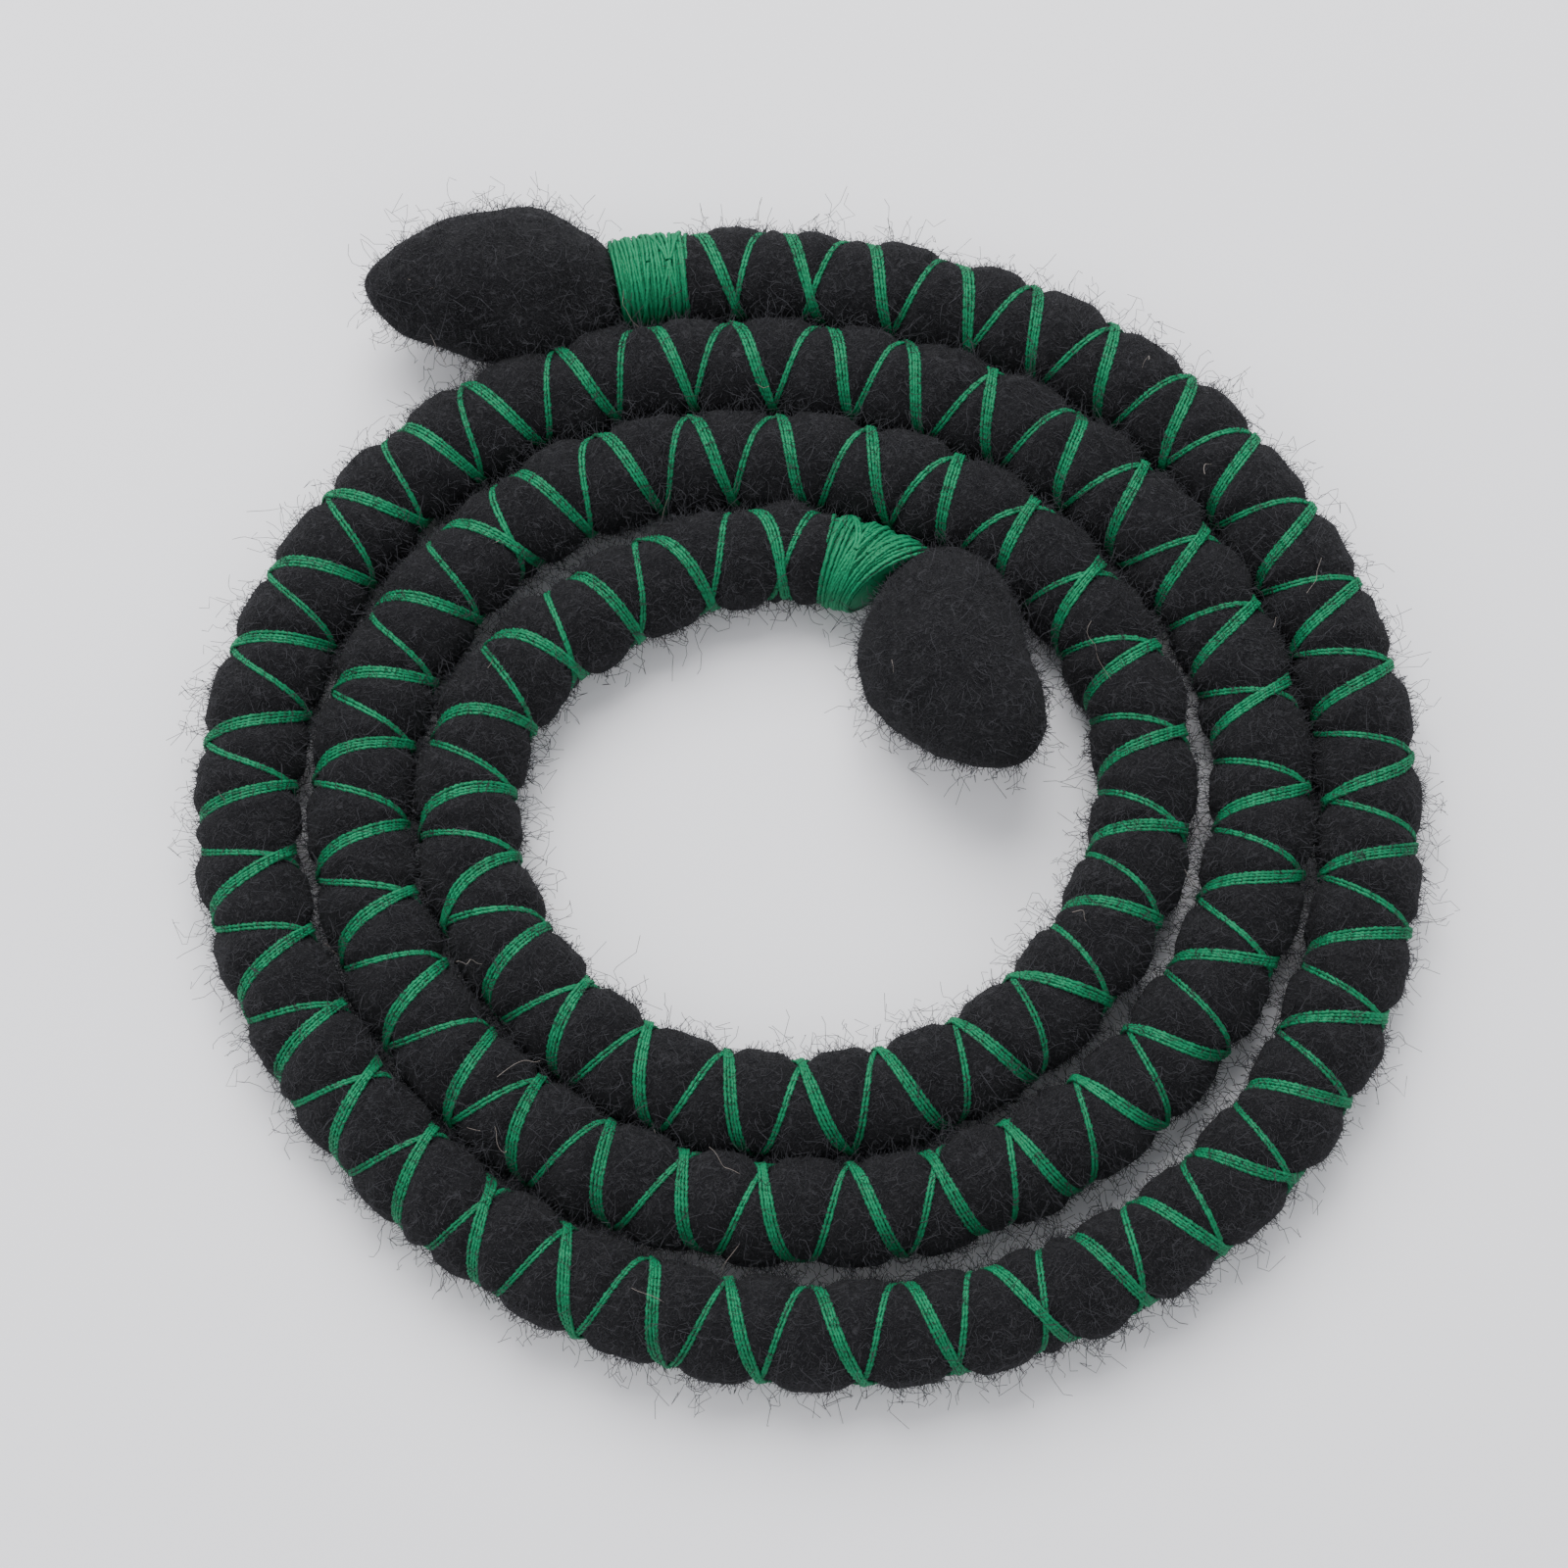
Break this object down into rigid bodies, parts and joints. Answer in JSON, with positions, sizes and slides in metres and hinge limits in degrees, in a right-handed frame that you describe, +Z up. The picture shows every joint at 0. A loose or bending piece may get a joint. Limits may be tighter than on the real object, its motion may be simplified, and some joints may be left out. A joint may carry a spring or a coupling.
{
  "type": "bendable hair tie",
  "caption": "Bendable rope of black felted wool over a core wire, crossed with green thread, with wound collars and pointed felt tips, rolled into a flat coil",
  "frame": {"origin": "on the surface that the coil lies on, under the middle of its bounding box", "axes": "+Z up, out of the flat coil; +Y towards the side where the outer tip lies; +X to the right of that"},
  "size_m": [0.14, 0.14, 0.0193],
  "materials": {
    "wool": "black felted wool roving with loose fibres",
    "thread": "green mercerised cotton embroidery thread",
    "felt": "black needle-felted wool",
    "wire": "bare soft aluminium craft wire"
  },
  "bodies": {
    "link_01": {"sleeve_01": "wool", "thread_01": "thread", "wire_01": "wire", "inner_collar": "thread"},
    "link_02": {"sleeve_02": "wool", "thread_02": "thread", "wire_02": "wire"},
    "link_03": {"sleeve_03": "wool", "thread_03": "thread", "wire_03": "wire"},
    "link_04": {"sleeve_04": "wool", "thread_04": "thread", "wire_04": "wire"},
    "link_05": {"sleeve_05": "wool", "thread_05": "thread", "wire_05": "wire"},
    "link_06": {"sleeve_06": "wool", "thread_06": "thread", "wire_06": "wire"},
    "link_07": {"sleeve_07": "wool", "thread_07": "thread", "wire_07": "wire"},
    "link_08": {"sleeve_08": "wool", "thread_08": "thread", "wire_08": "wire"},
    "link_09": {"sleeve_09": "wool", "thread_09": "thread", "wire_09": "wire"},
    "link_10": {"sleeve_10": "wool", "thread_10": "thread", "wire_10": "wire"},
    "link_11": {"sleeve_11": "wool", "thread_11": "thread", "wire_11": "wire"},
    "link_12": {"sleeve_12": "wool", "thread_12": "thread", "wire_12": "wire"},
    "link_13": {"sleeve_13": "wool", "thread_13": "thread", "wire_13": "wire"},
    "link_14": {"sleeve_14": "wool", "thread_14": "thread", "wire_14": "wire"},
    "link_15": {"sleeve_15": "wool", "thread_15": "thread", "wire_15": "wire"},
    "link_16": {"sleeve_16": "wool", "thread_16": "thread", "wire_16": "wire"},
    "link_17": {"sleeve_17": "wool", "thread_17": "thread", "wire_17": "wire"},
    "link_18": {"sleeve_18": "wool", "thread_18": "thread", "wire_18": "wire", "outer_collar": "thread"},
    "inner_end": {"inner_tip": "felt", "inner_wire_end": "wire"},
    "outer_end": {"outer_tip": "felt", "outer_wire_end": "wire"}
  },
  "joints": [
    {"name": "uncoil", "type": "hinge", "parent": "link_01", "child": "link_02", "pos_m": [-0.02633, 0.01939, 0.0057], "axis": [0, 0, -1], "range_deg": [0, 58.7]},
    {"name": "bend_02", "type": "hinge", "parent": "link_02", "child": "link_03", "pos_m": [-0.03649, -0.01571, 0.0057], "axis": [0, 0, -1], "range_deg": [0, 69.97]},
    {"name": "bend_03", "type": "hinge", "parent": "link_03", "child": "link_04", "pos_m": [-0.00568, -0.03825, 0.0057], "axis": [0, 0, -1], "range_deg": [0, 58.75]},
    {"name": "bend_04", "type": "hinge", "parent": "link_04", "child": "link_05", "pos_m": [0.02973, -0.02354, 0.0057], "axis": [0, 0, -1], "range_deg": [0, 57.89]},
    {"name": "bend_05", "type": "hinge", "parent": "link_05", "child": "link_06", "pos_m": [0.03605, 0.01399, 0.0057], "axis": [0, 0, -1], "range_deg": [0, 60.23]},
    {"name": "bend_06", "type": "hinge", "parent": "link_06", "child": "link_07", "pos_m": [0.00635, 0.03833, 0.0057], "axis": [0, 0, -1], "range_deg": [0, 53.7]},
    {"name": "bend_07", "type": "hinge", "parent": "link_07", "child": "link_08", "pos_m": [-0.03975, 0.02653, 0.0057], "axis": [0, 0, -1], "range_deg": [0, 65.79]},
    {"name": "bend_08", "type": "hinge", "parent": "link_08", "child": "link_09", "pos_m": [-0.04782, -0.01992, 0.0057], "axis": [0, 0, -1], "range_deg": [0, 61.62]},
    {"name": "bend_09", "type": "hinge", "parent": "link_09", "child": "link_10", "pos_m": [-0.01016, -0.04961, 0.0057], "axis": [0, 0, -1], "range_deg": [0, 54.12]},
    {"name": "bend_10", "type": "hinge", "parent": "link_10", "child": "link_11", "pos_m": [0.0362, -0.03643, 0.0057], "axis": [0, 0, -1], "range_deg": [0, 55.81]},
    {"name": "bend_11", "type": "hinge", "parent": "link_11", "child": "link_12", "pos_m": [0.05126, 0.00901, 0.0057], "axis": [0, 0, -1], "range_deg": [0, 63.25]},
    {"name": "bend_12", "type": "hinge", "parent": "link_12", "child": "link_13", "pos_m": [0.01095, 0.04943, 0.0057], "axis": [0, 0, -1], "range_deg": [0, 55.74]},
    {"name": "bend_13", "type": "hinge", "parent": "link_13", "child": "link_14", "pos_m": [-0.04562, 0.03878, 0.0057], "axis": [0, 0, -1], "range_deg": [0, 67.4]},
    {"name": "bend_14", "type": "hinge", "parent": "link_14", "child": "link_15", "pos_m": [-0.0591, -0.02494, 0.0057], "axis": [0, 0, -1], "range_deg": [0, 66.5]},
    {"name": "bend_15", "type": "hinge", "parent": "link_15", "child": "link_16", "pos_m": [-0.0046, -0.06374, 0.0057], "axis": [0, 0, -1], "range_deg": [0, 60.3]},
    {"name": "bend_16", "type": "hinge", "parent": "link_16", "child": "link_17", "pos_m": [0.05555, -0.03589, 0.0057], "axis": [0, 0, -1], "range_deg": [0, 65.72]},
    {"name": "bend_17", "type": "hinge", "parent": "link_17", "child": "link_18", "pos_m": [0.0549, 0.0308, 0.0057], "axis": [0, 0, -1], "range_deg": [0, 63.55]},
    {"name": "inner_tip_bend", "type": "hinge", "parent": "link_01", "child": "inner_end", "pos_m": [0.01597, 0.02164, 0.0057], "axis": [-0.9356, -0.3531, 0], "range_deg": [0, 30]},
    {"name": "outer_tip_bend", "type": "hinge", "parent": "link_18", "child": "outer_end", "pos_m": [-0.02875, 0.06148, 0.0057], "axis": [-0.0702, 0.9975, 0], "range_deg": [0, 40]}
  ],
  "couplings": [
    {"joint": "bend_02", "follows": "uncoil", "ratio": 1.1919},
    {"joint": "bend_03", "follows": "uncoil", "ratio": 1.0007},
    {"joint": "bend_04", "follows": "uncoil", "ratio": 0.9861},
    {"joint": "bend_05", "follows": "uncoil", "ratio": 1.0259},
    {"joint": "bend_06", "follows": "uncoil", "ratio": 0.91466},
    {"joint": "bend_07", "follows": "uncoil", "ratio": 1.1206},
    {"joint": "bend_08", "follows": "uncoil", "ratio": 1.0496},
    {"joint": "bend_09", "follows": "uncoil", "ratio": 0.92191},
    {"joint": "bend_10", "follows": "uncoil", "ratio": 0.95069},
    {"joint": "bend_11", "follows": "uncoil", "ratio": 1.0775},
    {"joint": "bend_12", "follows": "uncoil", "ratio": 0.94954},
    {"joint": "bend_13", "follows": "uncoil", "ratio": 1.1481},
    {"joint": "bend_14", "follows": "uncoil", "ratio": 1.1327},
    {"joint": "bend_15", "follows": "uncoil", "ratio": 1.0272},
    {"joint": "bend_16", "follows": "uncoil", "ratio": 1.1195},
    {"joint": "bend_17", "follows": "uncoil", "ratio": 1.0825}
  ]
}
